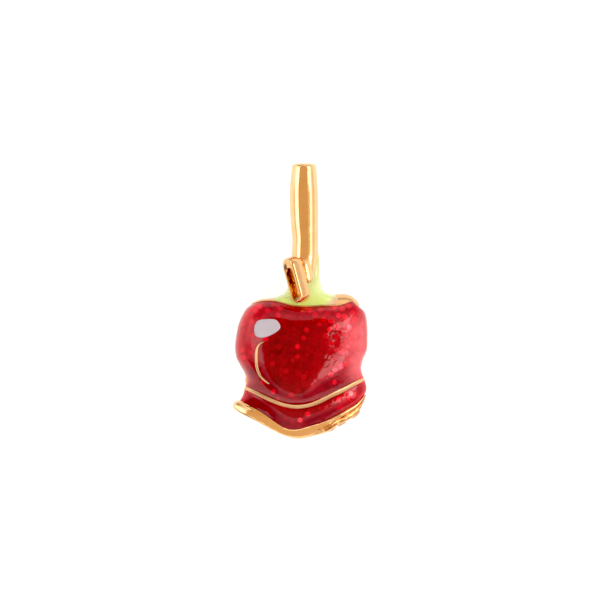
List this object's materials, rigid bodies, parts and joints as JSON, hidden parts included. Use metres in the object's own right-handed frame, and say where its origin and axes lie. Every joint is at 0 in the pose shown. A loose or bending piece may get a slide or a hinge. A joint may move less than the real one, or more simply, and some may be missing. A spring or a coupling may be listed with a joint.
{
  "type": "enamelled candy apple charm",
  "caption": "Small gold-plated relief charm of a candy apple on a stick, with red glitter, green and white enamel.",
  "frame": {"origin": "under the middle of the whole charm's outline, in the plane of its flat back", "axes": "+Z out of the enamelled face, +Y along the stick to its free end, +X to the right of the face"},
  "size_m": [0.0108, 0.022, 0.0043],
  "materials": {
    "gold": "polished gold plate",
    "red_enamel": "glossy clear red enamel with glitter",
    "green_enamel": "glossy opaque pale green enamel",
    "white_enamel": "glossy opaque off-white enamel"
  },
  "bodies": {
    "root": {"casting": "gold", "enamel_red_upper": "red_enamel", "enamel_red_lower": "red_enamel", "enamel_green": "green_enamel", "enamel_white": "white_enamel"}
  },
  "joints": []
}
